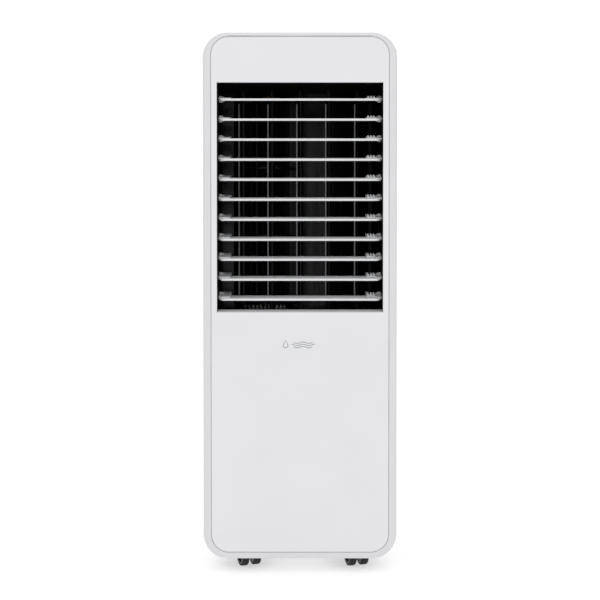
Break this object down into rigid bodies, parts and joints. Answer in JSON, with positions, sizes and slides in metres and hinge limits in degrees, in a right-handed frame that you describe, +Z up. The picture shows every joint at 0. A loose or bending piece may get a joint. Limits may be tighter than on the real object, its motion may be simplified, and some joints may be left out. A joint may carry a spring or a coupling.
{
  "type": "evaporative air cooler",
  "caption": "Slim tower evaporative cooler on castors: tall white cabinet, wide louvred outlet at the front, black swing vanes and blower behind it, rear filter and slide-out water tank",
  "frame": {"origin": "on the floor under the middle of the cabinet", "axes": "+Z up, front with the outlet faces -Y, +X to the right seen from the front"},
  "size_m": [0.296, 0.33, 0.826],
  "materials": {
    "shell_white": "satin moulded ABS",
    "panel_white": "satin gloss moulded ABS",
    "overlay_black": "gloss touch overlay",
    "board_green": "glass-epoxy board",
    "grip_grey": "textured moulded plastic",
    "duct_black": "moulded black polypropylene",
    "casing_black": "gloss black ABS",
    "louvre_white": "satin white ABS",
    "vane_black": "moulded black plastic",
    "drum_black": "glass-filled plastic",
    "shaft_steel": "ground steel",
    "motor_steel": "pressed zinc-plated steel",
    "bearing_bronze": "sintered bronze",
    "screw_steel": "zinc-plated steel",
    "rubber_black": "moulded rubber",
    "tank_clear": "translucent polypropylene",
    "window_clear": "clear polycarbonate",
    "float_red": "foamed plastic",
    "pump_blue": "sealed plastic",
    "hose_clear": "silicone",
    "box_grey": "flame-retardant ABS",
    "filter_black": "woven nylon net",
    "pad_brown": "corrugated cellulose honeycomb",
    "castor_black": "nylon",
    "wheel_black": "nylon"
  },
  "bodies": {
    "cabinet": {"front_frame": "shell_white", "front_panel": "panel_white", "control_overlay": "overlay_black", "circuit_boards": "board_green", "side_grips": "grip_grey", "side_shells": "shell_white", "rear_panel": "shell_white", "cord_gland": "rubber_black", "base_plate": "duct_black", "base_screws": "screw_steel", "outlet_duct": "duct_black", "swing_motor": "motor_steel", "blower_casing": "casing_black", "blower_top_plate": "casing_black", "fan_motor": "motor_steel", "drum_bearing": "bearing_bronze", "power_box": "box_grey", "pump_chamber": "tank_clear", "chamber_seal": "rubber_black", "water_pump": "pump_blue", "pump_hose": "hose_clear", "water_trough": "box_grey", "drip_tray": "box_grey"},
    "louvre_01": {"louvre_01": "louvre_white"},
    "louvre_02": {"louvre_02": "louvre_white"},
    "louvre_03": {"louvre_03": "louvre_white"},
    "louvre_04": {"louvre_04": "louvre_white"},
    "louvre_05": {"louvre_05": "louvre_white"},
    "louvre_06": {"louvre_06": "louvre_white"},
    "louvre_07": {"louvre_07": "louvre_white"},
    "louvre_08": {"louvre_08": "louvre_white"},
    "louvre_09": {"louvre_09": "louvre_white"},
    "louvre_10": {"louvre_10": "louvre_white"},
    "louvre_11": {"louvre_11": "louvre_white"},
    "louvre_link": {"louvre_link": "duct_black"},
    "vane_1": {"vane_1": "vane_black"},
    "vane_2": {"vane_2": "vane_black"},
    "vane_3": {"vane_3": "vane_black"},
    "vane_4": {"vane_4": "vane_black"},
    "vane_5": {"vane_5": "vane_black"},
    "vane_link": {"vane_link": "vane_black"},
    "blower": {"blower_drum": "drum_black", "blower_shaft": "shaft_steel"},
    "tank": {"water_tank": "tank_clear", "tank_cover": "shell_white", "level_window": "window_clear"},
    "float": {"level_float": "float_red"},
    "plug": {"drain_plug": "rubber_black"},
    "filter_cassette": {"inlet_grille": "shell_white", "dust_filter": "filter_black", "pad_frame": "duct_black", "cooling_pad": "pad_brown"},
    "castor_front_left": {"castor_fork_front_left": "castor_black"},
    "wheels_front_left": {"castor_wheels_front_left": "wheel_black"},
    "castor_front_right": {"castor_fork_front_right": "castor_black"},
    "wheels_front_right": {"castor_wheels_front_right": "wheel_black"},
    "castor_rear_left": {"castor_fork_rear_left": "castor_black"},
    "wheels_rear_left": {"castor_wheels_rear_left": "wheel_black"},
    "castor_rear_right": {"castor_fork_rear_right": "castor_black"},
    "wheels_rear_right": {"castor_wheels_rear_right": "wheel_black"}
  },
  "joints": [
    {"name": "louvre_01_tilt", "type": "hinge", "parent": "cabinet", "child": "louvre_01", "pos_m": [0, -0.121, 0.7305], "axis": [1, 0, 0], "range_deg": [-31, 21]},
    {"name": "louvre_02_tilt", "type": "hinge", "parent": "cabinet", "child": "louvre_02", "pos_m": [0, -0.121, 0.69996], "axis": [1, 0, 0], "range_deg": [-31, 21]},
    {"name": "louvre_03_tilt", "type": "hinge", "parent": "cabinet", "child": "louvre_03", "pos_m": [0, -0.121, 0.66942], "axis": [1, 0, 0], "range_deg": [-31, 21]},
    {"name": "louvre_04_tilt", "type": "hinge", "parent": "cabinet", "child": "louvre_04", "pos_m": [0, -0.121, 0.63888], "axis": [1, 0, 0], "range_deg": [-31, 21]},
    {"name": "louvre_05_tilt", "type": "hinge", "parent": "cabinet", "child": "louvre_05", "pos_m": [0, -0.121, 0.60834], "axis": [1, 0, 0], "range_deg": [-31, 21]},
    {"name": "louvre_06_tilt", "type": "hinge", "parent": "cabinet", "child": "louvre_06", "pos_m": [0, -0.121, 0.5778], "axis": [1, 0, 0], "range_deg": [-31, 21]},
    {"name": "louvre_07_tilt", "type": "hinge", "parent": "cabinet", "child": "louvre_07", "pos_m": [0, -0.121, 0.54726], "axis": [1, 0, 0], "range_deg": [-31, 21]},
    {"name": "louvre_08_tilt", "type": "hinge", "parent": "cabinet", "child": "louvre_08", "pos_m": [0, -0.121, 0.51672], "axis": [1, 0, 0], "range_deg": [-31, 21]},
    {"name": "louvre_09_tilt", "type": "hinge", "parent": "cabinet", "child": "louvre_09", "pos_m": [0, -0.121, 0.48618], "axis": [1, 0, 0], "range_deg": [-31, 21]},
    {"name": "louvre_10_tilt", "type": "hinge", "parent": "cabinet", "child": "louvre_10", "pos_m": [0, -0.121, 0.45564], "axis": [1, 0, 0], "range_deg": [-31, 21]},
    {"name": "louvre_11_tilt", "type": "hinge", "parent": "cabinet", "child": "louvre_11", "pos_m": [0, -0.121, 0.4251], "axis": [1, 0, 0], "range_deg": [-31, 21]},
    {"name": "louvre_link_pivot", "type": "hinge", "parent": "louvre_01", "child": "louvre_link", "pos_m": [0.11, -0.10915, 0.73238], "axis": [1, 0, 0], "range_deg": [-21, 31]},
    {"name": "vane_1_swing", "type": "hinge", "parent": "cabinet", "child": "vane_1", "pos_m": [-0.0914, -0.078, 0.5748], "axis": [0, 0, 1], "range_deg": [-28, 52]},
    {"name": "vane_2_swing", "type": "hinge", "parent": "cabinet", "child": "vane_2", "pos_m": [-0.0457, -0.078, 0.5748], "axis": [0, 0, 1], "range_deg": [-28, 52]},
    {"name": "vane_3_swing", "type": "hinge", "parent": "cabinet", "child": "vane_3", "pos_m": [0, -0.078, 0.5748], "axis": [0, 0, 1], "range_deg": [-28, 52]},
    {"name": "vane_4_swing", "type": "hinge", "parent": "cabinet", "child": "vane_4", "pos_m": [0.0457, -0.078, 0.5748], "axis": [0, 0, 1], "range_deg": [-28, 52]},
    {"name": "vane_5_swing", "type": "hinge", "parent": "cabinet", "child": "vane_5", "pos_m": [0.0914, -0.078, 0.5748], "axis": [0, 0, 1], "range_deg": [-28, 52]},
    {"name": "vane_link_pivot", "type": "hinge", "parent": "vane_3", "child": "vane_link", "pos_m": [0.00333, -0.06235, 0.7358], "axis": [0, 0, 1], "range_deg": [-52, 28]},
    {"name": "blower_spin", "type": "hinge", "parent": "cabinet", "child": "blower", "pos_m": [-0.052, 0, 0.5748], "axis": [0, 0, 1], "continuous": true},
    {"name": "tank_slide", "type": "slide", "parent": "cabinet", "child": "tank", "axis": [0, 1, 0], "range_m": [0, 0.26]},
    {"name": "float_rise", "type": "slide", "parent": "tank", "child": "float", "axis": [0, 0, 1], "range_m": [0, 0.17]},
    {"name": "plug_pull", "type": "slide", "parent": "tank", "child": "plug", "axis": [0, 1, 0], "range_m": [0, 0.02]},
    {"name": "cassette_slide", "type": "slide", "parent": "cabinet", "child": "filter_cassette", "axis": [0, 1, 0], "range_m": [0, 0.12]},
    {"name": "castor_front_left_swivel", "type": "hinge", "parent": "cabinet", "child": "castor_front_left", "pos_m": [-0.085, -0.108, 0.0435], "axis": [0, 0, 1], "continuous": true},
    {"name": "wheels_front_left_roll", "type": "hinge", "parent": "castor_front_left", "child": "wheels_front_left", "pos_m": [-0.0805, -0.11913, 0.018], "axis": [-0.9272, -0.3746, 0], "continuous": true},
    {"name": "castor_front_right_swivel", "type": "hinge", "parent": "cabinet", "child": "castor_front_right", "pos_m": [0.085, -0.108, 0.0435], "axis": [0, 0, 1], "continuous": true},
    {"name": "wheels_front_right_roll", "type": "hinge", "parent": "castor_front_right", "child": "wheels_front_right", "pos_m": [0.08851, -0.11948, 0.018], "axis": [-0.9563, -0.2924, 0], "continuous": true},
    {"name": "castor_rear_left_swivel", "type": "hinge", "parent": "cabinet", "child": "castor_rear_left", "pos_m": [-0.085, 0.108, 0.0435], "axis": [0, 0, 1], "continuous": true},
    {"name": "wheels_rear_left_roll", "type": "hinge", "parent": "castor_rear_left", "child": "wheels_rear_left", "pos_m": [-0.0821, 0.11964, 0.018], "axis": [0.9703, -0.2419, 0], "continuous": true},
    {"name": "castor_rear_right_swivel", "type": "hinge", "parent": "cabinet", "child": "castor_rear_right", "pos_m": [0.085, 0.108, 0.0435], "axis": [0, 0, 1], "continuous": true},
    {"name": "wheels_rear_right_roll", "type": "hinge", "parent": "castor_rear_right", "child": "wheels_rear_right", "pos_m": [0.07812, 0.11783, 0.018], "axis": [0.8192, 0.5736, 0], "continuous": true}
  ],
  "couplings": [
    {"joint": "louvre_02_tilt", "follows": "louvre_01_tilt", "ratio": 1},
    {"joint": "louvre_03_tilt", "follows": "louvre_01_tilt", "ratio": 1},
    {"joint": "louvre_04_tilt", "follows": "louvre_01_tilt", "ratio": 1},
    {"joint": "louvre_05_tilt", "follows": "louvre_01_tilt", "ratio": 1},
    {"joint": "louvre_06_tilt", "follows": "louvre_01_tilt", "ratio": 1},
    {"joint": "louvre_07_tilt", "follows": "louvre_01_tilt", "ratio": 1},
    {"joint": "louvre_08_tilt", "follows": "louvre_01_tilt", "ratio": 1},
    {"joint": "louvre_09_tilt", "follows": "louvre_01_tilt", "ratio": 1},
    {"joint": "louvre_10_tilt", "follows": "louvre_01_tilt", "ratio": 1},
    {"joint": "louvre_11_tilt", "follows": "louvre_01_tilt", "ratio": 1},
    {"joint": "louvre_link_pivot", "follows": "louvre_01_tilt", "ratio": -1},
    {"joint": "vane_1_swing", "follows": "vane_3_swing", "ratio": 1},
    {"joint": "vane_2_swing", "follows": "vane_3_swing", "ratio": 1},
    {"joint": "vane_4_swing", "follows": "vane_3_swing", "ratio": 1},
    {"joint": "vane_5_swing", "follows": "vane_3_swing", "ratio": 1},
    {"joint": "vane_link_pivot", "follows": "vane_3_swing", "ratio": -1}
  ]
}
